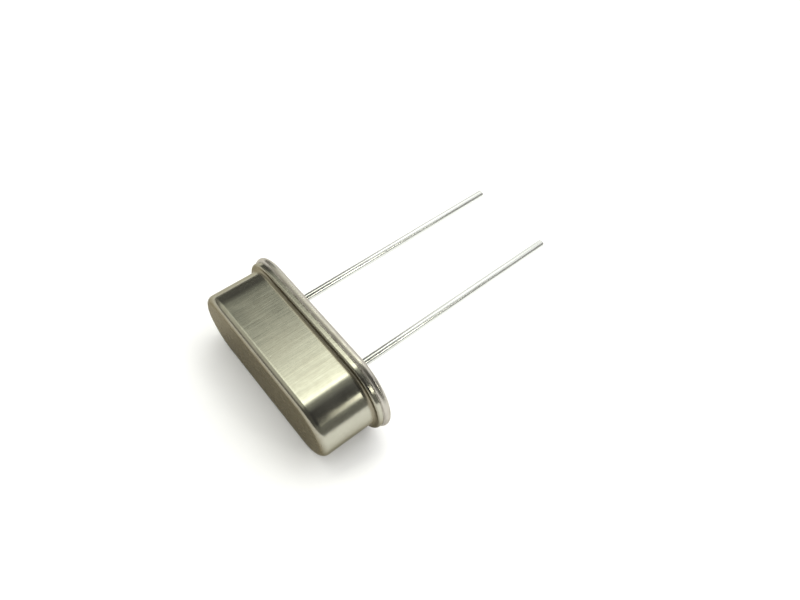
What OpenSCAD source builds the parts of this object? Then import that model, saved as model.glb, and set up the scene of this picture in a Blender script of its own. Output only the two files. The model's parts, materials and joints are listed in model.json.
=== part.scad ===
// Two-lead quartz crystal in a low metal can, lying on its side.
//
// It is built standing up: x runs along the lead pitch, y across the flat
// sides, z from the base underside (z = 0) to the closed end of the can, and
// the leads hang below z = 0. The laid() module then turns it to where it
// comes to rest, on the flange edge and the closed end's edge, with the leads
// along +Y.

/* [Can] */
// Length of the can body along the lead pitch
can_length = 10.1; // [9.4:0.1:12.5]
// Width of the can body across its flat sides
can_width = 3.75; // [3.1:0.05:4.7]
// Height from the base underside to the closed end
can_height = 3.55; // [2.9:0.05:13.5]
// Thickness of the drawn wall and of the closed end
can_wall = 0.25; // [0.15:0.01:0.3]
// Outside radius round the edge of the closed end
can_end_radius = 0.35; // [0.31:0.01:0.6]
// Radius in the corner where the wall turns out into the flange
can_root_radius = 0.2; // [0.1:0.01:0.24]

/* [Flange] */
// How far the base flange stands out beyond the can wall
flange_overhang = 0.45; // [0.37:0.01:0.6]
// Thickness of the base flange, whose edge is fully rounded
base_flange_thickness = 0.4; // [0.3:0.01:0.5]
// Thickness of the can flange that lies on it
can_flange_thickness = 0.28; // [0.22:0.01:0.35]
// How far the can flange's edge stays inside the base flange's edge
flange_step = 0.12; // [0.05:0.01:0.14]
// Radius on the upper edge of the can flange
can_flange_edge_radius = 0.12; // [0.05:0.01:0.15]

/* [Base] */
// Height of the raised middle of the base above its flange
plateau_height = 0.45; // [0.3:0.01:0.6]
// Radius round the upper edge of that raised middle
plateau_edge_radius = 0.12; // [0.05:0.01:0.2]
// Radius of the two holes that hold the glass
eyelet_radius = 0.65; // [0.5:0.01:0.75]
// Depth of the dished faces of the glass
glass_dish = 0.06; // [0.03:0.01:0.08]

/* [Leads] */
// Distance between the two leads
lead_pitch = 4.88; // [4.2:0.02:5.8]
// Diameter of the lead wire
lead_diameter = 0.43; // [0.35:0.01:0.52]
// Length of each lead below the base
lead_length = 13.3; // [3:0.1:20]
// Chamfer at the cut end of each lead
lead_chamfer = 0.04; // [0.02:0.01:0.08]
// How much the wire thickens through the glass, up to its flattened head
lead_swell = 0.02; // [0.01:0.005:0.04]
// Radius of the flattened head inside the can
lead_head_radius = 0.42; // [0.35:0.01:0.5]
// Thickness of that head
lead_head_thickness = 0.12; // [0.1:0.01:0.2]
// Height of the head's underside above the raised middle of the base
lead_head_rise = 0.1; // [0.08:0.01:0.2]

/* [Clips] */
// Thickness of the strip that the clips are bent from
clip_thickness = 0.1; // [0.06:0.01:0.12]
// Width of the clips
clip_width = 1.3; // [0.9:0.05:1.6]
// Inside radius of the bends
clip_bend_radius = 0.08; // [0.05:0.01:0.1]
// Height of the shelf that carries the quartz above the welded foot
clip_rise = 0.45; // [0.4:0.01:0.6]
// Height of the upturned lip above the shelf
clip_lip = 0.42; // [0.4:0.01:0.5]

/* [Quartz] */
// Width of the quartz strip
blank_width = 1.9; // [1.6:0.05:2.2]
// Thickness of the quartz strip
blank_thickness = 0.2; // [0.12:0.01:0.24]
// Length of the electrodes
electrode_length = 4.4; // [3.5:0.1:5]
// Width of the electrodes
electrode_width = 1.4; // [1:0.05:1.55]
// Width of the tab that takes each electrode to its clip
electrode_tab_width = 0.8; // [0.5:0.05:0.9]
// Thickness of the electrode films
electrode_thickness = 0.02; // [0.01:0.005:0.03]
// Gap between the ends of the strip and the clips' lips
blank_gap = 0.1; // [0.08:0.01:0.15]
// Radius of the adhesive beads
bead_radius = 0.5; // [0.4:0.01:0.6]
// Distance from the middle of each bead to the clip's lip
bead_inset = 0.3; // [0.2:0.01:0.38]
// Height of the adhesive beads above the strip
bead_height = 0.16; // [0.12:0.01:0.2]

/* [Fits] */
// Gap between the clips' lips and the can wall at its round ends
clip_clearance = 0.6; // [0.4:0.05:0.8]
// Gap between the raised middle of the base and the can wall
can_clearance = 0.06; // [0.03:0.01:0.1]

/* [Hidden] */
$fn = 64;
left = -1;
right = 1;

// Plan: every outline is a band round one straight spine
spine = can_length / 2 - can_width / 2;
can_half = can_width / 2;
can_inner_half = can_half - can_wall;
base_half = can_half + flange_overhang;
can_flange_half = base_half - flange_step;
plateau_half = can_inner_half - can_clearance;

// Heights
can_seat = base_flange_thickness;
can_flange_top = can_seat + can_flange_thickness;
base_top = base_flange_thickness + plateau_height;
base_edge_radius = base_flange_thickness / 2;
head_bottom = base_top + lead_head_rise;
head_top = head_bottom + lead_head_thickness;
shelf_top = head_top + clip_thickness + clip_rise;
blank_bottom = shelf_top + electrode_thickness;
blank_top = blank_bottom + blank_thickness;

// Radii that follow the wall through its bends
can_end_inner_radius = can_end_radius - can_wall;
can_root_fillet = min(can_root_radius, can_flange_half - can_flange_edge_radius - can_half);
can_bend_radius = can_root_fillet + can_wall;

// Leads and clips
lead_radius = lead_diameter / 2;
lead_x = lead_pitch / 2;
lip_inner = spine + can_inner_half - clip_clearance - clip_thickness;
blank_length = 2 * (lip_inner - blank_gap);
riser_outer = lead_x + lead_head_radius + clip_bend_radius + clip_thickness;
foot_inner = lead_x - lead_head_radius;

// Rest: the line that touches the round edges of the flange and closed end
edge_run = can_height - can_end_radius - base_edge_radius;
edge_drop = (base_half - base_edge_radius) - (can_half - can_end_radius);
edge_span = norm([edge_run, edge_drop]);
lay_angle = atan(edge_drop / edge_run)
            - asin((can_end_radius - base_edge_radius) / edge_span);
lay_lift = base_edge_radius * (1 + sin(lay_angle))
           + (base_half - base_edge_radius) * cos(lay_angle);
lay_low_y = -(can_height - can_end_radius) * cos(lay_angle)
            - (can_half - can_end_radius) * sin(lay_angle) - can_end_radius;
lay_high_y = lead_length * cos(lay_angle)
             + (lead_radius - lead_chamfer) * sin(lay_angle);
lay_centre = (lay_low_y + lay_high_y) / 2;

// Turns the upright part to its rest on the ground plane
module laid() {
    translate([0, -lay_centre, lay_lift]) rotate([90 + lay_angle, 0, 0]) children();
}

// Sweeps a profile (distance from the spine, height) all the way round it
module around_spine() {
    for (side = [left, right]) {
        translate([side * spine, 0, 0]) rotate([0, 0, -90 * side])
            rotate_extrude(angle = 180) children();
        translate([-spine, 0, 0]) rotate([90, 0, 90])
            linear_extrude(2 * spine) mirror([side < 0 ? 1 : 0, 0]) children();
    }
}

// Block from the spine out to a wall, with its upper outer edge rounded
module rounded_block(half, low, high, radius) {
    translate([0, low]) square([half - radius, high - low]);
    translate([0, low]) square([half, high - radius - low]);
    translate([half - radius, high - radius]) circle(radius);
}

// Fills the inner corner at (x, y) with a concave radius
module root_fillet(x, y, radius) {
    difference() {
        translate([x, y]) square(radius);
        translate([x + radius, y + radius]) circle(radius);
    }
}

module can_profile() {
    difference() {
        union() {
            rounded_block(can_half, can_seat, can_height, can_end_radius);
            rounded_block(can_flange_half, can_seat, can_flange_top, can_flange_edge_radius);
            root_fillet(can_half, can_flange_top, can_root_fillet);
        }
        rounded_block(can_inner_half, can_seat, can_height - can_wall, can_end_inner_radius);
        root_fillet(can_inner_half, can_seat, can_bend_radius);
    }
}

module can() {
    color("#b9b7a7") laid() around_spine() can_profile();
}

module base_profile() {
    square([base_half - base_edge_radius, base_flange_thickness]);
    translate([base_half - base_edge_radius, base_edge_radius]) circle(base_edge_radius);
    rounded_block(plateau_half, 0, base_top, plateau_edge_radius);
}

module base_plate() {
    color("#a79f92") laid() difference() {
        around_spine() base_profile();
        for (side = [left, right])
            translate([side * lead_x, 0, -1]) cylinder(r = eyelet_radius, h = base_top + 2);
    }
}

// Ring of glass between a lead and its hole, dished on both faces
module glass_seal(side) {
    band = eyelet_radius - lead_radius;
    dish_radius = (band * band / 4 + glass_dish * glass_dish) / (2 * glass_dish);
    top_radius = lead_radius + lead_swell * base_top / head_bottom;
    translate([side * lead_x, 0, 0]) rotate_extrude() difference() {
        polygon([[lead_radius, 0], [eyelet_radius, 0],
                 [eyelet_radius, base_top], [top_radius, base_top]]);
        for (y = [glass_dish - dish_radius, base_top - glass_dish + dish_radius])
            translate([lead_radius + band / 2, y]) circle(dish_radius);
    }
}

module glass_seal_left() {
    color("#3d4a45") laid() glass_seal(left);
}

module glass_seal_right() {
    color("#3d4a45") laid() glass_seal(right);
}

// Straight wire with a chamfered end below and a flattened head inside the can
module lead(side) {
    translate([side * lead_x, 0, 0]) {
        translate([0, 0, -lead_length])
            cylinder(r1 = lead_radius - lead_chamfer, r2 = lead_radius, h = lead_chamfer);
        translate([0, 0, lead_chamfer - lead_length])
            cylinder(r = lead_radius, h = lead_length - lead_chamfer);
        cylinder(r1 = lead_radius, r2 = lead_radius + lead_swell, h = head_bottom);
        translate([0, 0, head_bottom]) cylinder(r = lead_head_radius, h = lead_head_thickness);
    }
}

module lead_left() {
    color("#c9cac6") laid() lead(left);
}

module lead_right() {
    color("#c9cac6") laid() lead(right);
}

// Quarter turn of the strip round the point (x, y), from the angle start
module strip_bend(x, y, start) {
    outer = clip_bend_radius + clip_thickness;
    translate([x, y]) rotate(start) intersection() {
        difference() {
            circle(outer);
            circle(clip_bend_radius);
        }
        square(outer);
    }
}

// Side view of a clip: welded foot, riser, shelf and upturned lip
module clip_profile() {
    foot_end = riser_outer - clip_thickness - clip_bend_radius;
    riser_low = head_top + clip_thickness + clip_bend_radius;
    riser_high = shelf_top - clip_thickness - clip_bend_radius;
    shelf_start = riser_outer + clip_bend_radius;
    shelf_end = lip_inner - clip_bend_radius;
    lip_low = shelf_top + clip_bend_radius;
    translate([foot_inner, head_top]) square([foot_end - foot_inner, clip_thickness]);
    strip_bend(foot_end, riser_low, -90);
    translate([riser_outer - clip_thickness, riser_low])
        square([clip_thickness, riser_high - riser_low]);
    strip_bend(shelf_start, riser_high, 90);
    translate([shelf_start, shelf_top - clip_thickness])
        square([shelf_end - shelf_start, clip_thickness]);
    strip_bend(shelf_end, lip_low, -90);
    translate([lip_inner, lip_low]) square([clip_thickness, clip_lip - clip_bend_radius]);
}

module spring_clip(side) {
    mirror([side < 0 ? 1 : 0, 0, 0]) translate([0, clip_width / 2, 0])
        rotate([90, 0, 0]) linear_extrude(clip_width) clip_profile();
}

module spring_clip_left() {
    color("#b89b6b") laid() spring_clip(left);
}

module spring_clip_right() {
    color("#b89b6b") laid() spring_clip(right);
}

module quartz_blank() {
    color("#dfe6e4") laid() translate([-blank_length / 2, -blank_width / 2, blank_bottom])
        cube([blank_length, blank_width, blank_thickness]);
}

// Film with a tab that runs out to the end of the strip on one side
module electrode(side, z) {
    tab_length = blank_length / 2;
    translate([-electrode_length / 2, -electrode_width / 2, z])
        cube([electrode_length, electrode_width, electrode_thickness]);
    translate([side < 0 ? -tab_length : 0, -electrode_tab_width / 2, z])
        cube([tab_length, electrode_tab_width, electrode_thickness]);
}

module electrode_top() {
    color("#d9dadd") laid() electrode(left, blank_top);
}

module electrode_bottom() {
    color("#d9dadd") laid() electrode(right, shelf_top);
}

// Low dome with straight flanks, standing on z = 0
module bead_dome() {
    rotate_extrude() polygon(concat([[0, 0]],
        [for (a = [0:30:90]) [bead_radius * cos(a), bead_height * sin(a)]]));
}

// Bead over the end of the strip, with a neck down between the strip and the lip
module adhesive(side) {
    neck_low = shelf_top + clip_bend_radius;
    difference() {
        mirror([side < 0 ? 1 : 0, 0, 0]) {
            intersection() {
                translate([lip_inner - bead_inset, 0, blank_top]) bead_dome();
                translate([lip_inner - 2 * bead_radius, -bead_radius, blank_top])
                    cube([2 * bead_radius, 2 * bead_radius, bead_height]);
            }
            translate([blank_length / 2, -bead_inset, neck_low])
                cube([blank_gap, 2 * bead_inset, blank_top - neck_low]);
        }
        electrode(left, blank_top);
    }
}

module adhesive_left() {
    color("#c4c4c0") laid() adhesive(left);
}

module adhesive_right() {
    color("#c4c4c0") laid() adhesive(right);
}

can();
base_plate();
glass_seal_left();
glass_seal_right();
lead_left();
lead_right();
spring_clip_left();
spring_clip_right();
quartz_blank();
electrode_top();
electrode_bottom();
adhesive_left();
adhesive_right();
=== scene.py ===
"""Looks of a two-lead quartz crystal in a low metal can, laid out as an add-on.

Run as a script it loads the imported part, registers the add-on and presses its
buttons in order: can, base, glass, leads, weld, inside and stage.

The metal parts are drawn standing up, in millimetres: x along the lead pitch,
y across the flat sides and z from the base underside to the closed end. The
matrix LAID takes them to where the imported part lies, in metres.
"""

import json
import math

import bpy
from bpy.props import FloatProperty, FloatVectorProperty, IntProperty, PointerProperty
from mathutils import Matrix, Vector


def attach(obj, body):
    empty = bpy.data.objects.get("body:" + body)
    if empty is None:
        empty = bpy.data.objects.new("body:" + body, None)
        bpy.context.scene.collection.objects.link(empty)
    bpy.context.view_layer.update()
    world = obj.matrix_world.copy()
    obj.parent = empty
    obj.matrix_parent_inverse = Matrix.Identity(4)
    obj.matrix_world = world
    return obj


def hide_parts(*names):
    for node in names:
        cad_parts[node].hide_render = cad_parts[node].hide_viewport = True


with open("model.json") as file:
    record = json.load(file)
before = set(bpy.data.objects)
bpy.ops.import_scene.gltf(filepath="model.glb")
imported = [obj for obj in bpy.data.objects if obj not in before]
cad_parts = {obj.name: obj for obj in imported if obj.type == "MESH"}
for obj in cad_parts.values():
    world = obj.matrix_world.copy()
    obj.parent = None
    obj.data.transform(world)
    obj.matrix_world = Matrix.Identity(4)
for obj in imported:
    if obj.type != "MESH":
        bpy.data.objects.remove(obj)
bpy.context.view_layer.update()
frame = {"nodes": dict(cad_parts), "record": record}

bl_info = {
    "name": "Quartz crystal looks",
    "version": (1, 0, 0),
    "blender": (4, 5, 0),
    "location": "3D View > Sidebar > Crystal",
    "description": "Builds the metal, glass and stage of a two-lead quartz crystal",
    "category": "Object",
}

MM = 0.001
MOUNTS = {mount["name"]: mount for mount in frame["record"]["mounts"]}


# ---------------------------------------------------------------- placing


def laid_matrix():
    """From the upright drawing, in millimetres, to the part at rest, in metres."""
    face = MOUNTS["board_face"]
    down = Vector(face["axis"]).normalized()
    along = Vector((1, 0, 0))
    up = -down
    across = up.cross(along)
    turn = Matrix((along, across, up)).transposed().to_4x4()
    return Matrix.Translation(face["pos_m"]) @ turn @ Matrix.Scale(MM, 4)


LAID = laid_matrix()
LAY_ANGLE = math.atan2(MOUNTS["board_face"]["axis"][2], MOUNTS["board_face"]["axis"][1])
LEAD_RADIUS = MOUNTS["lead_left_wire"]["dims"]["r_mm"]
LEAD_X = MOUNTS["lead_right_wire"]["pos_m"][0] / MM
SIDES = {-1: "left", 1: "right"}

# Small sizes of the leads and the glass, in millimetres
LEAD_CHAMFER = 0.04
LEAD_SWELL = 0.02
HEAD_RISE = 0.1
HEAD_THICKNESS = 0.12
HEAD_EDGE = 0.03
GLASS_DISH = 0.06

# Steps along a straight side, round the glass and the wire, across a dish, round a hole
SIDE_STEPS = 25
GLASS_STEPS = 32
WIRE_STEPS = 24
DISH_STEPS = 10
HOLE_SIDES = 64

# Points this close, in millimetres, become one
MERGE_DISTANCE = 0.0015

# An edge that turns by more than this, in radians, is shaded sharp
SHARP_ANGLE = 0.7

# The weld thread, in millimetres: how far it lies below the joint and how far it wavers
WELD_DROP = 0.008
WELD_WAVER = 0.03
THREAD_POINTS = 900
BEAD_PLACES = 260


# ---------------------------------------------------------------- sizes


def length(name, description, value, least):
    """A length property, with its values given in millimetres."""
    return FloatProperty(name=name, description=description, default=value * MM,
                         min=least * MM, precision=5, unit="LENGTH")


class CrystalSizes(bpy.types.PropertyGroup):
    """Sizes of the metal and glass parts."""

    can_length: length(
        "Can length", "Length of the can body along the lead pitch", 10.1, 8)
    can_width: length(
        "Can width", "Width of the can body across its flat sides", 3.75, 3)
    can_height: length(
        "Can height", "Height from the base underside to the closed end", 3.55, 2)
    can_wall: length(
        "Wall", "Thickness of the drawn wall", 0.25, 0.1)
    end_radius: length(
        "Closed end radius", "Outside radius round the closed end", 0.35, 0.1)
    root_radius: length(
        "Root radius", "Radius where the wall turns out into the flange", 0.2, 0.05)
    flange_overhang: length(
        "Flange overhang", "How far the base flange stands out from the wall", 0.45, 0.2)
    flange_step: length(
        "Flange step", "How far the can flange stays inside the base flange", 0.12, 0.0)
    can_flange: length(
        "Can flange", "Thickness of the can flange", 0.28, 0.1)
    can_edge_radius: length(
        "Can flange edge", "Radius on the can flange's upper edge", 0.12, 0.02)
    base_flange: length(
        "Base flange", "Thickness of the base flange", 0.4, 0.1)
    plateau: length(
        "Plateau", "Height of the raised middle of the base", 0.45, 0.1)
    plateau_edge: length(
        "Plateau edge", "Radius round the raised middle's upper edge", 0.12, 0.02)
    can_clearance: length(
        "Clearance", "Gap between the raised middle and the can wall", 0.06, 0.0)
    eyelet_radius: length(
        "Eyelet radius", "Radius of the two holes that hold the glass", 0.65, 0.3)
    lead_length: length(
        "Lead length", "Length of each lead below the base", 13.3, 2)
    head_radius: length(
        "Head radius", "Radius of the flattened head on each lead", 0.42, 0.3)
    arc_steps: IntProperty(
        name="Arc steps", description="Steps round each round end of the outline",
        default=56, min=12, max=96)


def sizes():
    """The sizes in millimetres, by name."""
    group = bpy.context.scene.crystal_sizes
    found = {}
    for name in CrystalSizes.__annotations__:
        value = getattr(group, name)
        found[name] = value if isinstance(value, int) else value / MM
    return found


# ---------------------------------------------------------------- sections


def arc(cx, cy, radius, start, end, steps=8):
    """Points on an arc, angles in degrees, both ends included."""
    points = []
    for i in range(steps + 1):
        a = math.radians(start + (end - start) * i / steps)
        points.append((cx + radius * math.cos(a), cy + radius * math.sin(a)))
    return points


def run(start, end, steps=4, margin=0.02):
    """Points strictly between two ends: one close to each, which holds the shading."""
    (x0, y0), (x1, y1) = start, end
    whole = math.hypot(x1 - x0, y1 - y0)
    near = min(margin / whole, 0.25)
    cuts = [near] + [i / steps for i in range(1, steps)] + [1 - near]
    return [(x0 + (x1 - x0) * t, y0 + (y1 - y0) * t) for t in cuts]


def joined(*stretches):
    """One line through several stretches, with runs between them filled in."""
    line = list(stretches[0])
    for stretch in stretches[1:]:
        line += run(line[-1], stretch[0])
        line += stretch
    return line


def section_object(name, points):
    """A mesh chain of (distance from the spine, height) points, ready to be swept.

    The sweep turns a section over, so its heights go in with their sign changed.
    """
    mesh = bpy.data.meshes.new(name)
    edges = [(i, i + 1) for i in range(len(points) - 1)]
    mesh.from_pydata([(x, -y, 0) for x, y in points], edges, [])
    piece = bpy.data.objects.new(name, mesh)
    bpy.context.scene.collection.objects.link(piece)
    return piece


# ---------------------------------------------------------------- node trees


class Tree:
    """Adds nodes to a tree and joins them, with the inputs given by name."""

    def __init__(self, tree):
        self.tree = tree

    def add(self, kind, props=None, **inputs):
        """A new node with its settings made and its inputs fed."""
        node = self.tree.nodes.new(kind)
        for key, value in (props or {}).items():
            setattr(node, key, value)
        for key, value in inputs.items():
            self.feed(self.socket(node, key), value)
        return node

    @staticmethod
    def socket(node, key):
        """An input by its position, written i0, i1 and so on, or by its name."""
        if key[0] == "i" and key[1:].isdigit():
            return node.inputs[int(key[1:])]
        return node.inputs[key.replace("_", " ")]

    def feed(self, socket, value):
        """Links a node or an output to an input, or sets it to a plain value."""
        if isinstance(value, bpy.types.Node):
            value = next(out for out in value.outputs if out.enabled)
        if isinstance(value, bpy.types.NodeSocket):
            self.tree.links.new(value, socket)
        else:
            socket.default_value = value

    def math(self, operation, first, second=0.0, third=0.0):
        """A Math node."""
        return self.add("ShaderNodeMath", {"operation": operation},
                        i0=first, i1=second, i2=third)


def add_inputs(tree, inputs):
    """Gives a tree its inputs from rows of name, kind and default."""
    for label, kind, value in inputs:
        socket = tree.interface.new_socket(name=label, in_out="INPUT", socket_type=kind)
        if value is not None:
            socket.default_value = value


def new_geometry_tree(name, inputs):
    """A Geometry Nodes tree with named inputs after its geometry."""
    tree = bpy.data.node_groups.new(name, "GeometryNodeTree")
    tree.is_modifier = True
    face = tree.interface
    face.new_socket(name="Geometry", in_out="INPUT", socket_type="NodeSocketGeometry")
    add_inputs(tree, inputs)
    face.new_socket(name="Geometry", in_out="OUTPUT", socket_type="NodeSocketGeometry")
    t = Tree(tree)
    return t, t.add("NodeGroupInput"), t.add("NodeGroupOutput")


def outline_curve(t, given):
    """The round-ended outline as one closed curve, walked once round by its points."""
    bend = given.outputs["Arc Steps"]
    side = given.outputs["Side Steps"]
    count = t.math("MULTIPLY", t.math("ADD", bend, side), 2.0)
    line = t.add("GeometryNodeCurvePrimitiveLine")
    points = t.add("GeometryNodeResampleCurve", {"mode": "COUNT"}, Curve=line, Count=count)
    index = t.add("GeometryNodeInputIndex")

    def share(start, steps):
        part = t.math("DIVIDE", t.math("SUBTRACT", index, start), steps)
        return t.add("ShaderNodeClamp", Value=part)

    turned = t.math("ADD", share(0.0, bend), share(t.math("ADD", bend, side), bend))
    back = share(bend, side)
    forth = share(t.math("MULTIPLY_ADD", bend, 2.0, side), side)
    angle = t.math("MULTIPLY_ADD", turned, math.pi, -math.pi / 2)
    run_x = t.math("MULTIPLY_ADD", t.math("SUBTRACT", forth, back), 2.0, 1.0)
    centre = t.math("MULTIPLY", run_x, given.outputs["Spine"])
    half = given.outputs["Half Width"]
    x = t.math("MULTIPLY_ADD", t.math("COSINE", angle), half, centre)
    y = t.math("MULTIPLY", t.math("SINE", angle), half)
    place = t.add("ShaderNodeCombineXYZ", X=x, Y=y)
    walked = t.add("GeometryNodeSetPosition", Geometry=points, Position=place)
    loop = t.add("GeometryNodeSetSplineCyclic", Geometry=walked, Cyclic=True)
    return t.add("GeometryNodeSetCurveNormal", {"mode": "Z_UP"}, Curve=loop)


OUTLINE_INPUTS = [
    ("Spine", "NodeSocketFloat", 3.175),
    ("Half Width", "NodeSocketFloat", 1.875),
    ("Arc Steps", "NodeSocketInt", 56),
    ("Side Steps", "NodeSocketInt", SIDE_STEPS),
    ("Material", "NodeSocketMaterial", None),
]


def sweep_tree():
    """Sweeps the object's own section round the outline and closes it along the spine."""
    t, given, result = new_geometry_tree("sweep_round_outline", OUTLINE_INPUTS)
    path = outline_curve(t, given)
    section = t.add("GeometryNodeMeshToCurve", Mesh=given.outputs["Geometry"])
    inwards = t.math("MULTIPLY", given.outputs["Half Width"], -1.0)
    shift = t.add("ShaderNodeCombineXYZ", X=inwards)
    moved = t.add("GeometryNodeSetPosition", Geometry=section, Offset=shift)
    swept = t.add("GeometryNodeCurveToMesh", Curve=path, Profile_Curve=moved)
    closed = t.add("GeometryNodeMergeByDistance", Geometry=swept, Distance=MERGE_DISTANCE)
    smooth = t.add("GeometryNodeSetShadeSmooth", Geometry=closed)
    real = t.add("GeometryNodeRealizeInstances", Geometry=smooth)
    painted = t.add("GeometryNodeSetMaterial", Geometry=real,
                    Material=given.outputs["Material"])
    t.tree.links.new(painted.outputs[0], result.inputs[0])
    return t.tree


def tree_named(name, maker):
    """The node tree of that name, built the first time it is asked for."""
    return bpy.data.node_groups.get(name) or maker()


def run_tree(piece, tree, values):
    """Runs a tree on a piece and keeps the result as the piece's plain mesh."""
    modifier = piece.modifiers.new(tree.name, "NODES")
    modifier.node_group = tree
    for item in tree.interface.items_tree:
        if item.item_type == "SOCKET" and item.in_out == "INPUT" and item.name in values:
            modifier[item.identifier] = values[item.name]
    bpy.context.view_layer.update()
    graph = bpy.context.evaluated_depsgraph_get()
    mesh = bpy.data.meshes.new_from_object(piece.evaluated_get(graph))
    piece.modifiers.remove(modifier)
    piece.data = mesh
    if not mesh.polygons:
        raise RuntimeError(f"{tree.name} made nothing for {piece.name}")
    mesh.materials.clear()
    mesh.materials.append(values["Material"])
    mesh.polygons.foreach_set("material_index", [0] * len(mesh.polygons))
    return piece


# ---------------------------------------------------------------- finishes


def tint(name, description, value):
    """A colour property, as linear values."""
    return FloatVectorProperty(name=name, description=description, default=value,
                               min=0, max=1, size=3, subtype="COLOR")


class CrystalColours(bpy.types.PropertyGroup):
    """Colours of the metal, glass and inside parts, as linear values."""

    can: tint(
        "Can", "Nickel on the drawn can", (0.49, 0.485, 0.41))
    # Painted shade: this darker nickel darkens the closed end and the root crease; elsewhere it
    # gives random mottle, and on the clips random patches.
    can_shade: tint(
        "Can shade", "Duller nickel in the hollows and on the closed end", (0.27, 0.245, 0.185))
    base: tint(
        "Base", "Nickel on the base plate", (0.585, 0.56, 0.505))
    base_shade: tint(
        "Base shade", "Duller nickel beside the weld", (0.26, 0.235, 0.20))
    wire: tint(
        "Lead wire", "Tinned wire", (0.80, 0.815, 0.79))
    wire_shade: tint(
        "Lead shade", "Duller streaks along the wire", (0.46, 0.46, 0.44))
    glass: tint(
        "Glass", "Dark sealing glass", (0.018, 0.028, 0.025))
    glass_cloud: tint(
        "Glass cloud", "Paler clouds and bubbles in the glass", (0.07, 0.095, 0.085))
    clip: tint(
        "Clip", "Nickel silver strip", (0.72, 0.64, 0.48))
    quartz: tint(
        "Quartz", "Lapped quartz", (0.82, 0.86, 0.86))
    film: tint(
        "Film", "Silver electrode film", (0.87, 0.86, 0.84))
    adhesive: tint(
        "Adhesive", "Silver-filled epoxy", (0.50, 0.49, 0.47))


def colour(name):
    """A finish colour with its alpha."""
    return tuple(getattr(bpy.context.scene.crystal_colours, name)) + (1.0,)


def new_shader_group(name, inputs, outputs):
    """A shader node group with plain numbers, vectors or colours as its sockets."""
    tree = bpy.data.node_groups.new(name, "ShaderNodeTree")
    add_inputs(tree, inputs)
    for label, kind in outputs:
        tree.interface.new_socket(name=label, in_out="OUTPUT", socket_type=kind)
    t = Tree(tree)
    return t, t.add("NodeGroupInput"), t.add("NodeGroupOutput")


FLOAT = "NodeSocketFloat"
VECTOR = "NodeSocketVector"


def draw_marks_group():
    """Fine lines that run along the can's depth, where the die dragged the metal."""
    t, given, result = new_shader_group(
        "draw_marks",
        [("Place", VECTOR, None), ("Across", FLOAT, 14.0), ("Along", FLOAT, 0.5),
         ("Shift", FLOAT, 0.0)],
        [("Marks", FLOAT)])
    split = t.add("ShaderNodeSeparateXYZ", Vector=given.outputs["Place"])
    x = t.math("MULTIPLY_ADD", split.outputs["X"], given.outputs["Across"],
               given.outputs["Shift"])
    y = t.math("MULTIPLY", split.outputs["Y"], given.outputs["Along"])
    z = t.math("MULTIPLY", split.outputs["Z"], given.outputs["Across"])
    drawn = t.add("ShaderNodeCombineXYZ", X=x, Y=y, Z=z)
    grain = t.add("ShaderNodeTexNoise", Vector=drawn, Scale=1.0, Detail=4.0, Roughness=0.62)
    sharp = t.add("ShaderNodeMapRange", {"clamp": True}, Value=grain.outputs[0],
                  From_Min=0.32, From_Max=0.68)
    t.tree.links.new(sharp.outputs[0], result.inputs["Marks"])
    return t.tree


def smudges_group():
    """Soft uneven patches, from handling and plating."""
    t, given, result = new_shader_group(
        "smudges",
        [("Place", VECTOR, None), ("Size", FLOAT, 1.0), ("Shift", FLOAT, 0.0)],
        [("Patches", FLOAT)])
    scale = t.math("DIVIDE", 1.0, given.outputs["Size"])
    shift = t.add("ShaderNodeCombineXYZ", X=given.outputs["Shift"])
    move = t.add("ShaderNodeVectorMath", {"operation": "ADD"},
                 i0=given.outputs["Place"], i1=shift)
    cloud = t.add("ShaderNodeTexNoise", Vector=move, Scale=scale, Detail=3.0, Roughness=0.55,
                  Distortion=0.6)
    soft = t.add("ShaderNodeMapRange", {"clamp": True}, Value=cloud.outputs[0],
                 From_Min=0.3, From_Max=0.7)
    t.tree.links.new(soft.outputs[0], result.inputs["Patches"])
    return t.tree


def nicks_group():
    """Sparse tiny dents and specks."""
    t, given, result = new_shader_group(
        "nicks",
        [("Place", VECTOR, None), ("Density", FLOAT, 4.0), ("Size", FLOAT, 0.12)],
        [("Nicks", FLOAT)])
    wobble = t.add("ShaderNodeTexNoise", Vector=given.outputs["Place"], Scale=9.0, Detail=2.0)
    moved = t.add("ShaderNodeVectorMath", {"operation": "MULTIPLY_ADD"},
                  i0=wobble.outputs[1], i1=(0.05, 0.05, 0.05), i2=given.outputs["Place"])
    cells = t.add("ShaderNodeTexVoronoi", Vector=moved, Scale=given.outputs["Density"])
    near = t.add("ShaderNodeMapRange", {"clamp": True}, Value=cells.outputs["Distance"],
                 From_Min=given.outputs["Size"], From_Max=0.0)
    pick = t.add("ShaderNodeSeparateColor", Color=cells.outputs["Color"])
    kept = t.math("GREATER_THAN", pick.outputs[0], 0.6)
    t.tree.links.new(t.math("MULTIPLY", near, kept).outputs[0], result.inputs["Nicks"])
    return t.tree


def band_group():
    """One where a value is close to a level, falling softly to nought at its reach."""
    t, given, result = new_shader_group(
        "band",
        [("Value", FLOAT, 0.0), ("Level", FLOAT, 0.0), ("Reach", FLOAT, 0.1)],
        [("Mask", FLOAT)])
    off = t.math("SUBTRACT", given.outputs["Value"], given.outputs["Level"])
    mask = t.add("ShaderNodeMapRange", {"interpolation_type": "SMOOTHSTEP"},
                 Value=t.math("ABSOLUTE", off), From_Min=0.0,
                 From_Max=given.outputs["Reach"], To_Min=1.0, To_Max=0.0)
    t.tree.links.new(mask.outputs[0], result.inputs["Mask"])
    return t.tree


GROUPS = {
    "draw_marks": draw_marks_group,
    "smudges": smudges_group,
    "nicks": nicks_group,
    "band": band_group,
}


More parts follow.
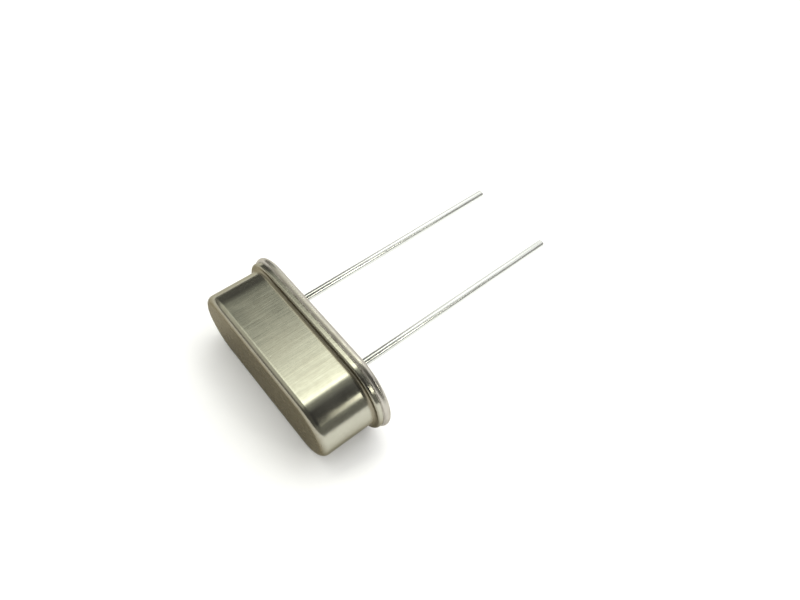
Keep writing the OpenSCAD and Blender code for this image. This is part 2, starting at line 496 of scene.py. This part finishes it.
class Finish:
    """One material with its shader, and the place on the part in drawing millimetres.

    The place has x along the pitch, y from the closed end towards the lead tips,
    nought at the base underside, and z across the flat sides. Depth is that y.
    """

    def __init__(self, name):
        self.material = bpy.data.materials.new(name)
        self.material.use_nodes = True
        self.material.node_tree.nodes.clear()
        self.t = Tree(self.material.node_tree)
        self.shader = self.t.add("ShaderNodeBsdfPrincipled")
        self.t.add("ShaderNodeOutputMaterial", Surface=self.shader)
        spot = self.t.add("ShaderNodeTexCoord").outputs["Object"]
        turn = Matrix.Rotation(-LAY_ANGLE, 4, "X") @ Matrix.Scale(1 / MM, 4)
        origin = turn @ Vector(MOUNTS["board_face"]["pos_m"])
        self.place = self.t.add("ShaderNodeMapping", Vector=spot, Location=-origin,
                                Rotation=(-LAY_ANGLE, 0, 0),
                                Scale=(1 / MM, 1 / MM, 1 / MM))
        split = self.t.add("ShaderNodeSeparateXYZ", Vector=self.place)
        self.depth = split.outputs["Y"]

    def plain(self, **values):
        """Sets values that are the same all over on the shader's own sockets."""
        for key, value in values.items():
            self.shader.inputs[key.replace("_", " ")].default_value = value

    def group(self, name, **inputs):
        """One of the shared effects, placed with its own values."""
        tree = tree_named(name, GROUPS[name])
        node = self.t.add("ShaderNodeGroup", {"node_tree": tree})
        if "Place" in node.inputs:
            self.t.feed(node.inputs["Place"], self.place)
        for key, value in inputs.items():
            self.t.feed(node.inputs[key], value)
        return node.outputs[0]

    def mix(self, factor, first, second):
        """A colour between two, by a factor."""
        node = self.t.add("ShaderNodeMix", {"data_type": "RGBA"},
                          i0=factor, i6=first, i7=second)
        return node.outputs[2]

    def share(self, value, most):
        """A value from 0 to 1 brought down to at most that much."""
        return self.t.math("MULTIPLY", value, most)

    def total(self, *values):
        """The values added up and kept between 0 and 1."""
        result = values[0]
        for value in values[1:]:
            result = self.t.math("ADD", result, value)
        return self.t.add("ShaderNodeClamp", Value=result)

    def bump(self, height, distance, under=None):
        """A bump of that many millimetres, on top of another where one is given."""
        node = self.t.add("ShaderNodeBump", Height=height, Strength=1.0,
                          Distance=distance * MM)
        if under is not None:
            self.t.feed(node.inputs["Normal"], under)
        return node

    def feed(self, **inputs):
        """Feeds values that change over the surface to the shader."""
        for key, value in inputs.items():
            self.t.feed(self.shader.inputs[key.replace("_", " ")], value)


def can_finish():
    """Drawn nickel: die marks along its depth, a rougher root crease and a hazy closed end,
    both darkened with painted shade.
    """
    s = sizes()
    f = Finish("can_nickel")
    f.plain(Metallic=1.0, Specular_Tint=(0.465, 0.435, 0.37, 1.0))
    marks = f.group("draw_marks", Across=16.0, Along=0.45)
    coarse = f.group("draw_marks", Across=4.5, Along=0.22, Shift=7.0)
    patches = f.group("smudges", Size=1.3)
    mottle = f.group("smudges", Size=0.22, Shift=31.0)
    haze = f.group("smudges", Size=0.5, Shift=43.0)
    specks = f.group("nicks", Density=1.6, Size=0.05)
    # Painted shade: the closed end is darkened towards the shade colour.
    closed = f.group("band", Value=f.depth, Level=-s["can_height"] - 0.4, Reach=0.75)
    end = f.total(f.t.math("MULTIPLY", closed, 2.4))
    flange_top = s["base_flange"] + s["can_flange"]
    # Painted shade: the crease at the wall's root is darkened towards the shade colour, and
    # also made rougher.
    root = f.group("band", Value=f.depth, Level=-(flange_top + 0.06), Reach=0.2)
    rubbed = f.t.math("MULTIPLY", end, haze)
    # The shade mix: painted shade on the closed end and at the root, plus random marks, patches
    # and mottle.
    shade = f.total(f.share(end, 0.8), f.share(root, 0.95), f.share(coarse, 0.12),
                    f.share(patches, 0.14), f.share(mottle, 0.12))
    f.feed(Base_Color=f.mix(shade, colour("can"), colour("can_shade")))
    f.feed(Roughness=f.total(0.13, f.share(marks, 0.05), f.share(patches, 0.06),
                             f.share(root, 0.15), f.share(rubbed, 0.12)))
    fine = f.bump(marks, 0.0003)
    wide = f.bump(coarse, 0.0007, under=fine)
    f.feed(Normal=f.bump(specks, -0.002, under=wide))
    return f.material


def base_finish():
    """Plated base: fine tumbled grain, dulled beside the weld."""
    s = sizes()
    f = Finish("base_nickel")
    f.plain(Metallic=1.0, Specular_Tint=(0.62, 0.59, 0.54, 1.0))
    grain = f.group("smudges", Size=0.07, Shift=3.0)
    patches = f.group("smudges", Size=0.9, Shift=11.0)
    specks = f.group("nicks", Density=2.2, Size=0.06)
    weld = f.group("band", Value=f.depth, Level=-s["base_flange"], Reach=0.1)
    shade = f.total(f.share(weld, 0.12), f.share(patches, 0.25), f.share(grain, 0.08))
    f.feed(Base_Color=f.mix(shade, colour("base"), colour("base_shade")))
    f.feed(Roughness=f.total(0.2, f.share(grain, 0.08), f.share(patches, 0.12),
                             f.share(weld, 0.15)))
    fine = f.bump(grain, 0.0018)
    f.feed(Normal=f.bump(specks, -0.004, under=fine))
    return f.material


def weld_finish():
    """Squeezed-out weld metal: dull and unevenly heated."""
    f = Finish("weld_flash")
    f.plain(Metallic=1.0)
    heat = f.group("smudges", Size=0.35, Shift=21.0)
    grain = f.group("smudges", Size=0.03, Shift=5.0)
    f.feed(Base_Color=f.mix(heat, colour("base"), colour("base_shade")))
    f.feed(Roughness=f.total(0.3, f.share(grain, 0.2)))
    f.feed(Normal=f.bump(grain, 0.002))
    return f.material


def wire_finish():
    """Tinned wire: long drawn streaks, small nicks and a duller foot by the glass."""
    f = Finish("tinned_wire")
    f.plain(Metallic=1.0)
    marks = f.group("draw_marks", Across=30.0, Along=0.5, Shift=2.0)
    streaks = f.group("draw_marks", Across=9.0, Along=0.25, Shift=13.0)
    specks = f.group("nicks", Density=2.6, Size=0.09)
    foot = f.group("band", Value=f.depth, Level=0.0, Reach=0.5)
    shade = f.total(f.share(streaks, 0.45), f.share(specks, 0.7), f.share(foot, 0.4))
    f.feed(Base_Color=f.mix(shade, colour("wire"), colour("wire_shade")))
    f.feed(Roughness=f.total(0.15, f.share(marks, 0.08), f.share(specks, 0.2)))
    fine = f.bump(marks, 0.0012)
    f.feed(Normal=f.bump(specks, -0.006, under=fine))
    return f.material


def glass_finish():
    """Dark sealing glass with pale clouds and pinhole bubbles."""
    f = Finish("sealing_glass")
    f.plain(Metallic=0.0, Transmission_Weight=0.0, IOR=1.52)
    clouds = f.group("smudges", Size=0.25, Shift=4.0)
    bubbles = f.group("nicks", Density=9.0, Size=0.2)
    pale = f.total(f.share(clouds, 0.5), f.share(bubbles, 0.8))
    f.feed(Base_Color=f.mix(pale, colour("glass"), colour("glass_cloud")))
    f.feed(Roughness=f.total(0.07, f.share(clouds, 0.12)))
    f.feed(Normal=f.bump(bubbles, -0.01))
    return f.material


def clip_finish():
    """Rolled nickel silver strip with lines along its length."""
    f = Finish("clip_strip")
    f.plain(Metallic=1.0)
    rolled = f.group("draw_marks", Across=22.0, Along=22.0, Shift=9.0)
    patches = f.group("smudges", Size=0.5, Shift=6.0)
    f.feed(Base_Color=f.mix(f.share(patches, 0.35), colour("clip"), colour("can_shade")))
    f.feed(Roughness=f.total(0.22, f.share(rolled, 0.12), f.share(patches, 0.08)))
    f.feed(Normal=f.bump(rolled, 0.001))
    return f.material


def quartz_finish():
    """Lapped quartz: hazy, with a fine even grain."""
    f = Finish("lapped_quartz")
    f.plain(Metallic=0.0, Transmission_Weight=0.6, IOR=1.544)
    haze = f.group("smudges", Size=0.8, Shift=17.0)
    grain = f.group("smudges", Size=0.02, Shift=8.0)
    f.feed(Base_Color=f.mix(f.share(haze, 0.3), colour("quartz"), colour("film")))
    f.feed(Roughness=f.total(0.32, f.share(grain, 0.16), f.share(haze, 0.08)))
    f.feed(Normal=f.bump(grain, 0.001))
    return f.material


def film_finish():
    """Silver film that follows the lapped grain, a little tarnished at places."""
    f = Finish("silver_film")
    f.plain(Metallic=1.0)
    tarnish = f.group("smudges", Size=0.6, Shift=14.0)
    grain = f.group("smudges", Size=0.03, Shift=2.0)
    f.feed(Base_Color=f.mix(f.share(tarnish, 0.25), colour("film"), colour("clip")))
    f.feed(Roughness=f.total(0.3, f.share(grain, 0.12), f.share(tarnish, 0.06)))
    f.feed(Normal=f.bump(grain, 0.001))
    return f.material


def adhesive_finish():
    """Silver-filled epoxy: grainy flakes in a dull grey."""
    f = Finish("silver_epoxy")
    f.plain(Metallic=0.6)
    flakes = f.group("nicks", Density=26.0, Size=0.5)
    lumps = f.group("smudges", Size=0.12, Shift=19.0)
    f.feed(Base_Color=f.mix(f.share(flakes, 0.7), colour("adhesive"), colour("film")))
    f.feed(Roughness=f.total(0.4, f.share(lumps, 0.25)))
    f.feed(Normal=f.bump(lumps, 0.008))
    return f.material


FINISHES = {
    "can_nickel": can_finish,
    "base_nickel": base_finish,
    "weld_flash": weld_finish,
    "tinned_wire": wire_finish,
    "sealing_glass": glass_finish,
    "clip_strip": clip_finish,
    "lapped_quartz": quartz_finish,
    "silver_film": film_finish,
    "silver_epoxy": adhesive_finish,
}


def finish(name):
    """The material of that name, made the first time it is asked for."""
    return bpy.data.materials.get(name) or FINISHES[name]()


# ---------------------------------------------------------------- pieces


def can_section(s):
    """Outer skin from the closed end down to the seat, then the inner skin back up."""
    half = s["can_width"] / 2
    inner = half - s["can_wall"]
    top = s["can_height"]
    seat = s["base_flange"]
    flange_top = seat + s["can_flange"]
    flange_half = half + s["flange_overhang"] - s["flange_step"]
    end, root, edge = s["end_radius"], s["root_radius"], s["can_edge_radius"]
    bend = root + s["can_wall"]
    inner_end = end - s["can_wall"]
    inner_top = top - s["can_wall"]
    return joined(
        [(0, top)],
        arc(half - end, top - end, end, 90, 0, 10),
        arc(half + root, flange_top + root, root, 180, 270, 8),
        arc(flange_half - edge, flange_top - edge, edge, 90, 0, 6),
        [(flange_half, seat)],
        arc(inner + bend, seat + bend, bend, 270, 180, 8),
        arc(inner - inner_end, inner_top - inner_end, inner_end, 0, 90, 5),
        [(0, inner_top)],
    )


def base_section(s):
    """Raised middle, the flange with its round edge, and the flat underside."""
    half = s["can_width"] / 2 + s["flange_overhang"]
    middle = s["can_width"] / 2 - s["can_wall"] - s["can_clearance"]
    edge = s["base_flange"] / 2
    top = s["base_flange"] + s["plateau"]
    fine = s["plateau_edge"]
    return joined(
        [(0, top)],
        arc(middle - fine, top - fine, fine, 90, 0, 5),
        [(middle, s["base_flange"])],
        arc(half - edge, edge, edge, 90, -90, 16),
        [(0, 0)],
    )


def lead_section(s):
    """From the flattened head down to the wire's cut end, all round its own axis."""
    r = LEAD_RADIUS
    low = -s["lead_length"]
    head = s["base_flange"] + s["plateau"] + HEAD_RISE
    top = head + HEAD_THICKNESS
    rim = s["head_radius"] - HEAD_EDGE
    return joined(
        [(0, top)],
        arc(rim, top - HEAD_EDGE, HEAD_EDGE, 90, 0, 4),
        arc(rim, head + HEAD_EDGE, HEAD_EDGE, 0, -90, 4),
        [(r + LEAD_SWELL, head)],
        [(r, 0)],
        arc(r - LEAD_CHAMFER, low + LEAD_CHAMFER, LEAD_CHAMFER, 0, -90, 4),
        [(0, low)],
    )


def seal_section(s):
    """Glass ring from the wire out to its hole, dished on both faces."""
    hole = s["eyelet_radius"]
    top = s["base_flange"] + s["plateau"]
    r = LEAD_RADIUS
    wide = r + LEAD_SWELL * top / (top + HEAD_RISE)
    low = []
    high = []
    for i in range(DISH_STEPS + 1):
        part = i / DISH_STEPS
        sink = GLASS_DISH * 4 * part * (1 - part)
        high.append((wide + (hole - wide) * part, top - sink))
        low.append((hole + (r - hole) * part, sink))
    return high + run(high[-1], low[0]) + low + run(low[-1], high[0]) + [high[0]]


def outline(spine, half, arc_steps, side_steps, material):
    """Values for the inputs that every tree has."""
    return {"Spine": spine, "Half Width": half, "Arc Steps": arc_steps,
            "Side Steps": side_steps, "Material": finish(material)}


def can_outline(s, out, material):
    """The can's outline, grown by that much."""
    spine = (s["can_length"] - s["can_width"]) / 2
    return outline(spine, s["can_width"] / 2 + out, s["arc_steps"], SIDE_STEPS, material)


def make_swept(name, points, values):
    """A piece swept round the outline, still upright and in millimetres."""
    piece = section_object(name, points)
    return run_tree(piece, tree_named("sweep_round_outline", sweep_tree), values)


def make_pair(name, points, values, node):
    """The same round piece on each lead's axis."""
    for side, word in SIDES.items():
        piece = make_swept(name + word, points, values)
        piece.data.transform(Matrix.Translation((side * LEAD_X, 0, 0)))
        settle(piece, node + word)


def settle(piece, node):
    """Lays the finished piece where the part lies, in metres, and puts it on its body."""
    piece.data.transform(LAID)
    piece.data.update()
    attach(piece, "root")
    if node:
        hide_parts(node)
    return piece


class CRYSTAL_OT_can(bpy.types.Operator):
    """Sweeps the drawn can with its flange round the outline"""

    bl_idname = "crystal.make_can"
    bl_label = "Can"

    def execute(self, context):
        s = sizes()
        values = can_outline(s, 0.0, "can_nickel")
        piece = make_swept("can_shell", can_section(s), values)
        settle(piece, "can")
        return {"FINISHED"}


def eyelet_tree():
    """Sweeps the base's section, then cuts a row of round holes through it."""
    inputs = OUTLINE_INPUTS + [
        ("Hole Radius", "NodeSocketFloat", 0.65),
        ("Hole Place", "NodeSocketFloat", 2.44),
        ("Hole Sides", "NodeSocketInt", HOLE_SIDES),
        ("Depth", "NodeSocketFloat", 4.0),
    ]
    t, given, result = new_geometry_tree("sweep_with_eyelets", inputs)
    group = {"node_tree": tree_named("sweep_round_outline", sweep_tree)}
    swept = t.add("GeometryNodeGroup", group, Geometry=given.outputs["Geometry"])
    for label, _, _ in OUTLINE_INPUTS:
        t.tree.links.new(given.outputs[label], swept.inputs[label])
    place = given.outputs["Hole Place"]
    first = t.add("ShaderNodeCombineXYZ", X=t.math("MULTIPLY", place, -1.0))
    pitch = t.add("ShaderNodeCombineXYZ", X=t.math("MULTIPLY", place, 2.0))
    row = t.add("GeometryNodeMeshLine", Count=2, Start_Location=first, Offset=pitch)
    drill = t.add("GeometryNodeMeshCylinder", Vertices=given.outputs["Hole Sides"],
                  Radius=given.outputs["Hole Radius"], Depth=given.outputs["Depth"])
    drills = t.add("GeometryNodeInstanceOnPoints", Points=row, Instance=drill.outputs["Mesh"])
    solid = t.add("GeometryNodeRealizeInstances", Geometry=drills)
    cut = t.add("GeometryNodeMeshBoolean", {"operation": "DIFFERENCE"}, i0=swept, i1=solid)
    angle = t.add("GeometryNodeInputMeshEdgeAngle")
    sharp = t.add("FunctionNodeCompare", {"operation": "GREATER_THAN"},
                  i0=angle, i1=SHARP_ANGLE)
    smooth = t.add("GeometryNodeSetShadeSmooth", {"domain": "EDGE"}, Geometry=cut,
                   Selection=sharp, Shade_Smooth=False)
    real = t.add("GeometryNodeRealizeInstances", Geometry=smooth)
    painted = t.add("GeometryNodeSetMaterial", Geometry=real,
                    Material=given.outputs["Material"])
    t.tree.links.new(painted.outputs[0], result.inputs[0])
    return t.tree


class CRYSTAL_OT_base(bpy.types.Operator):
    """Sweeps the base plate and cuts its two eyelets"""

    bl_idname = "crystal.make_base"
    bl_label = "Base plate"

    def execute(self, context):
        s = sizes()
        piece = section_object("base_body", base_section(s))
        values = can_outline(s, s["flange_overhang"], "base_nickel")
        values["Hole Radius"] = s["eyelet_radius"]
        values["Hole Place"] = LEAD_X
        run_tree(piece, tree_named("sweep_with_eyelets", eyelet_tree), values)
        settle(piece, "base_plate")
        return {"FINISHED"}


class CRYSTAL_OT_glass(bpy.types.Operator):
    """Turns the two dished glass rings"""

    bl_idname = "crystal.make_glass"
    bl_label = "Glass seals"

    def execute(self, context):
        s = sizes()
        values = outline(0.0, s["eyelet_radius"], GLASS_STEPS, 0, "sealing_glass")
        make_pair("seal_", seal_section(s), values, "glass_seal_")
        return {"FINISHED"}


class CRYSTAL_OT_leads(bpy.types.Operator):
    """Turns the two wires with their heads"""

    bl_idname = "crystal.make_leads"
    bl_label = "Leads"

    def execute(self, context):
        values = outline(0.0, LEAD_RADIUS, WIRE_STEPS, 0, "tinned_wire")
        make_pair("wire_", lead_section(sizes()), values, "lead_")
        return {"FINISHED"}


def weld_tree():
    """An uneven thread of squeezed-out metal with small beads along it."""
    inputs = OUTLINE_INPUTS + [
        ("Height", "NodeSocketFloat", 0.39),
        ("Thread", "NodeSocketFloat", 0.03),
        ("Bead", "NodeSocketFloat", 0.034),
        ("Bead Share", "NodeSocketFloat", 0.3),
        ("Seed", "NodeSocketInt", 7),
    ]
    t, given, result = new_geometry_tree("weld_thread", inputs)
    path = outline_curve(t, given)
    fine = t.add("GeometryNodeResampleCurve", {"mode": "COUNT"}, Curve=path,
                 Count=THREAD_POINTS)
    waver = t.add("ShaderNodeTexNoise", {"noise_dimensions": "3D"}, Scale=3.2, Detail=2.0)
    low = t.math("MULTIPLY_ADD", waver.outputs[0], WELD_WAVER, -WELD_WAVER / 2)
    level = t.math("ADD", given.outputs["Height"], low)
    lift = t.add("ShaderNodeCombineXYZ", Z=level)
    placed = t.add("GeometryNodeSetPosition", Geometry=fine, Offset=lift)
    ripple = t.add("ShaderNodeTexNoise", {"noise_dimensions": "3D"}, Scale=7.0, Detail=3.0)
    thick = t.math("MULTIPLY", t.math("MULTIPLY_ADD", ripple.outputs[0], 1.6, 0.2),
                   given.outputs["Thread"])
    ring = t.add("GeometryNodeCurvePrimitiveCircle", Resolution=8, Radius=1.0)
    tube = t.add("GeometryNodeCurveToMesh", Curve=placed, Scale=thick,
                 Profile_Curve=ring.outputs["Curve"])
    spots = t.add("GeometryNodeResampleCurve", {"mode": "COUNT"}, Curve=placed,
                  Count=BEAD_PLACES)
    seed = given.outputs["Seed"]
    chosen = t.add("FunctionNodeRandomValue", {"data_type": "BOOLEAN"},
                   Probability=given.outputs["Bead Share"], Seed=seed)
    bead = t.add("GeometryNodeMeshIcoSphere", Radius=given.outputs["Bead"], Subdivisions=2)
    size = t.add("FunctionNodeRandomValue", {"data_type": "FLOAT"}, i2=0.4, i3=1.0, Seed=seed)
    beads = t.add("GeometryNodeInstanceOnPoints", Points=spots, Selection=chosen.outputs[3],
                  Instance=bead.outputs["Mesh"], Scale=size.outputs[1])
    gather = t.add("GeometryNodeJoinGeometry")
    t.tree.links.new(tube.outputs[0], gather.inputs[0])
    t.tree.links.new(beads.outputs[0], gather.inputs[0])
    real = t.add("GeometryNodeRealizeInstances", Geometry=gather)
    smooth = t.add("GeometryNodeSetShadeSmooth", Geometry=real)
    painted = t.add("GeometryNodeSetMaterial", Geometry=smooth,
                    Material=given.outputs["Material"])
    t.tree.links.new(painted.outputs[0], result.inputs[0])
    return t.tree


class CRYSTAL_OT_weld(bpy.types.Operator):
    """Lays the thread of weld metal between the two flanges"""

    bl_idname = "crystal.make_weld"
    bl_label = "Weld"

    def execute(self, context):
        s = sizes()
        piece = section_object("weld_thread", [(0, 0), (0, 1)])
        values = can_outline(s, s["flange_overhang"] - s["flange_step"], "weld_flash")
        values["Height"] = s["base_flange"] - WELD_DROP
        run_tree(piece, tree_named("weld_thread", weld_tree), values)
        settle(piece, None)
        return {"FINISHED"}


INSIDE = {
    "spring_clip_left": "clip_strip",
    "spring_clip_right": "clip_strip",
    "quartz_blank": "lapped_quartz",
    "electrode_top": "silver_film",
    "electrode_bottom": "silver_film",
    "adhesive_left": "silver_epoxy",
    "adhesive_right": "silver_epoxy",
}


class CRYSTAL_OT_inside(bpy.types.Operator):
    """Gives the pieces sealed inside the can their finishes"""

    bl_idname = "crystal.finish_inside"
    bl_label = "Inside"

    def execute(self, context):
        for node, name in INSIDE.items():
            mesh = frame["nodes"][node].data
            mesh.materials.clear()
            mesh.materials.append(finish(name))
        return {"FINISHED"}


# ---------------------------------------------------------------- stage


def heading(azimuth, elevation):
    """A direction: azimuth turns from +Y towards -X, elevation lifts it from level."""
    a, e = math.radians(azimuth), math.radians(elevation)
    return Vector((-math.sin(a) * math.cos(e), math.cos(a) * math.cos(e), math.sin(e)))


def strip_group():
    """A soft-edged strip of light, by its turn round the lead axis and tilt from it."""
    names = ["Turn", "Tilt", "Turn Low", "Turn High", "Soft Low", "Soft High", "Tilt Low",
             "Tilt High", "Tilt Soft"]
    t, given, result = new_shader_group(
        "strip_light", [(name, FLOAT, 0.0) for name in names], [("Mask", FLOAT)])

    def ramp(value, start, end):
        step = t.add("ShaderNodeMapRange", {"interpolation_type": "SMOOTHSTEP"},
                     Value=value, From_Min=start, From_Max=end)
        return step.outputs[0]

    g = given.outputs
    masks = [
        ramp(g["Turn"], t.math("SUBTRACT", g["Turn Low"], g["Soft Low"]), g["Turn Low"]),
        ramp(g["Turn"], t.math("ADD", g["Turn High"], g["Soft High"]), g["Turn High"]),
        ramp(g["Tilt"], t.math("SUBTRACT", g["Tilt Low"], g["Tilt Soft"]), g["Tilt Low"]),
        ramp(g["Tilt"], t.math("ADD", g["Tilt High"], g["Tilt Soft"]), g["Tilt High"]),
    ]
    mask = masks[0]
    for other in masks[1:]:
        mask = t.math("MULTIPLY", mask, other)
    t.tree.links.new(mask.outputs[0], result.inputs["Mask"])
    return t.tree


# Strips of light. Turn is in degrees round the lead axis (0 is up, 90 is towards +X) and
# tilt in degrees from it (0 is along the leads). Each row has its name, turn from and to,
# softness below and above, tilt from and to, softness, strength and tint.
STRIPS = [
    ("main", -20, -14, 14, 5, 67, 92, 14, 2.85, (0.985, 1.0, 0.88)),
    ("main skirt", -42, -14, 30, 8, 100, 130, 18, 0.48, (0.985, 1.0, 0.86)),
    ("after glow", -10, 0, 4, 20, 40, 100, 20, 0.10, (1.0, 1.0, 0.90)),
    ("left room", -110, -66, 20, 12, 40, 90, 20, 0.065, (1.0, 1.0, 0.92)),
    ("wall glow", -32, -10, 32, 24, 62, 90, 16, 0.20, (0.96, 1.0, 0.86)),
    ("edge", 49, 53, 6, 14, 62, 71, 8, 0.17, (1.0, 1.0, 0.84)),
    ("spot", 49, 59, 3, 4, 67, 71.5, 1.6, 7.2, (1.0, 0.99, 0.86)),
    ("low right", 64, 114, 12, 20, 40, 130, 20, 0.15, (1.0, 1.0, 0.88)),
    ("back", -45, 36, 25, 12, -1, 64, 6, 1.06, (1.0, 1.0, 0.98)),
    ("back left", -180, -70, 1, 25, -1, 65, 6, 0.80, (1.0, 1.0, 0.98)),
    ("back right", 64, 180, 26, 1, -1, 65, 6, 0.20, (1.0, 1.0, 0.98)),
    ("front left", -140, -40, 40, 30, 95, 140, 12, 0.20, (1.0, 0.98, 0.88)),
    ("front", -180, 180, 1, 1, 120, 181, 14, 0.06, (1.0, 0.97, 0.90)),
]

# The light between the strips, and the colour seen behind the part
ROOM = (0.062, 0.060, 0.058)
BACKDROP = (1.0, 1.0, 1.0)

# The floor light's strength, its spread in degrees and where it stands
LAMP_STRENGTH = 2.35
LAMP_SPREAD = 150
LAMP_HEADING = (15, 72)

# Half the floor's width in metres, and its two tones
FLOOR_HALF = 0.6
FLOOR_TONES = ((0.93, 0.93, 0.93, 1.0), (0.97, 0.97, 0.97, 1.0))

# The camera: lens, sensor, distance and the point it looks at in millimetres, then its
# azimuth and elevation, and its roll, in degrees
LENS = 29.66
SENSOR = 36
DISTANCE = 35.54
AIM = (0.04, 0.45, 2.0)
CAMERA_HEADING = (39.465, -47.59)
ROLL = -13.70


def make_surroundings():
    """Soft strips of light in a dim room, with a plain pale backdrop in view."""
    world = bpy.data.worlds.new("soft_studio")
    world.use_nodes = True
    world.node_tree.nodes.clear()
    t = Tree(world.node_tree)
    way = t.add("ShaderNodeTexCoord").outputs["Generated"]
    spin = t.add("ShaderNodeMapping", Vector=way, Rotation=(-LAY_ANGLE, 0, 0))
    split = t.add("ShaderNodeSeparateXYZ", Vector=spin)
    x, y, z = split.outputs
    turn = t.math("DEGREES", t.math("ARCTAN2", x, z))
    tilt = t.math("DEGREES", t.math("ARCCOSINE", y))
    group = tree_named("strip_light", strip_group)
    light = ROOM
    for name, low, high, soft_low, soft_high, near, far, soft, strength, shine in STRIPS:
        mask = t.add("ShaderNodeGroup", {"node_tree": group, "label": name},
                     Turn=turn, Tilt=tilt, Turn_Low=low, Turn_High=high,
                     Soft_Low=soft_low, Soft_High=soft_high,
                     Tilt_Low=near, Tilt_High=far, Tilt_Soft=soft)
        glow = t.add("ShaderNodeVectorMath", {"operation": "SCALE"}, i0=shine,
                     Scale=t.math("MULTIPLY", mask, strength))
        light = t.add("ShaderNodeVectorMath", {"operation": "ADD"}, i0=light, i1=glow)
    lit = t.add("ShaderNodeBackground", Color=light, Strength=1.0)
    plain = t.add("ShaderNodeBackground", Color=BACKDROP + (1.0,), Strength=1.0)
    seen = t.add("ShaderNodeLightPath").outputs["Is Camera Ray"]
    both = t.add("ShaderNodeMixShader", i0=seen, i1=lit, i2=plain)
    t.add("ShaderNodeOutputWorld", Surface=both)
    bpy.context.scene.world = world


def make_floor_light():
    """A wide soft light from behind, for the floor and its shadows only."""
    lamp = bpy.data.lights.new("floor_light", "SUN")
    lamp.energy = LAMP_STRENGTH
    lamp.angle = math.radians(LAMP_SPREAD)
    holder = bpy.data.objects.new("floor_light", lamp)
    bpy.context.scene.collection.objects.link(holder)
    holder.rotation_euler = heading(*LAMP_HEADING).to_track_quat("Z", "Y").to_euler()
    holder.visible_glossy = False


def make_floor():
    """A wide pale floor under the part."""
    half = FLOOR_HALF
    mesh = bpy.data.meshes.new("floor")
    mesh.from_pydata([(-half, -half, 0), (half, -half, 0), (half, half, 0), (-half, half, 0)],
                     [], [(0, 1, 2, 3)])
    floor = bpy.data.objects.new("floor", mesh)
    bpy.context.scene.collection.objects.link(floor)
    material = bpy.data.materials.new("pale_floor")
    material.use_nodes = True
    material.node_tree.nodes.clear()
    t = Tree(material.node_tree)
    shader = t.add("ShaderNodeBsdfPrincipled", Roughness=0.7, Specular_IOR_Level=0.1)
    spot = t.add("ShaderNodeTexCoord").outputs["Object"]
    grain = t.add("ShaderNodeTexNoise", Vector=spot, Scale=900.0, Detail=3.0)
    tone = t.add("ShaderNodeMix", {"data_type": "RGBA"}, i0=grain.outputs[0],
                 i6=FLOOR_TONES[0], i7=FLOOR_TONES[1])
    t.feed(shader.inputs["Base Color"], tone.outputs[2])
    t.add("ShaderNodeOutputMaterial", Surface=shader)
    mesh.materials.append(material)


def make_camera():
    """A wide lens held close, looking down past the closed end towards the leads."""
    camera = bpy.data.cameras.new("camera")
    camera.sensor_width = SENSOR
    camera.lens = LENS
    camera.clip_start = 0.001
    camera.dof.use_dof = False
    holder = bpy.data.objects.new("camera", camera)
    bpy.context.scene.collection.objects.link(holder)
    forward = heading(*CAMERA_HEADING)
    right = forward.cross(Vector((0, 0, 1))).normalized()
    right.rotate(Matrix.Rotation(math.radians(ROLL), 3, forward))
    up = right.cross(forward)
    turn = Matrix((right, up, -forward)).transposed().to_4x4()
    place = Vector(AIM) * MM - forward * DISTANCE * MM
    holder.matrix_world = Matrix.Translation(place) @ turn
    bpy.context.scene.camera = holder


class CRYSTAL_OT_stage(bpy.types.Operator):
    """Sets the floor, the soft surroundings and the camera"""

    bl_idname = "crystal.make_stage"
    bl_label = "Stage"

    def execute(self, context):
        make_floor()
        make_surroundings()
        make_floor_light()
        make_camera()
        context.scene.view_settings.view_transform = "Standard"
        context.scene.view_settings.look = "None"
        return {"FINISHED"}


class CRYSTAL_PT_panel(bpy.types.Panel):
    """Buttons and sizes for the crystal"""

    bl_idname = "CRYSTAL_PT_panel"
    bl_label = "Quartz crystal"
    bl_space_type = "VIEW_3D"
    bl_region_type = "UI"
    bl_category = "Crystal"

    def draw(self, context):
        for operator in OPERATORS:
            self.layout.operator(operator.bl_idname)
        for group in (context.scene.crystal_sizes, context.scene.crystal_colours):
            box = self.layout.box()
            for name in group.__annotations__:
                box.prop(group, name)


OPERATORS = (
    CRYSTAL_OT_can,
    CRYSTAL_OT_base,
    CRYSTAL_OT_glass,
    CRYSTAL_OT_leads,
    CRYSTAL_OT_weld,
    CRYSTAL_OT_inside,
    CRYSTAL_OT_stage,
)
CLASSES = (CrystalSizes, CrystalColours) + OPERATORS + (CRYSTAL_PT_panel,)


def register():
    for cls in CLASSES:
        bpy.utils.register_class(cls)
    bpy.types.Scene.crystal_sizes = PointerProperty(type=CrystalSizes)
    bpy.types.Scene.crystal_colours = PointerProperty(type=CrystalColours)


def unregister():
    del bpy.types.Scene.crystal_colours
    del bpy.types.Scene.crystal_sizes
    for cls in reversed(CLASSES):
        bpy.utils.unregister_class(cls)


def main():
    register()
    bpy.ops.crystal.make_can()
    bpy.ops.crystal.make_base()
    bpy.ops.crystal.make_glass()
    bpy.ops.crystal.make_leads()
    bpy.ops.crystal.make_weld()
    bpy.ops.crystal.finish_inside()
    bpy.ops.crystal.make_stage()


if __name__ == "__main__":
    main()
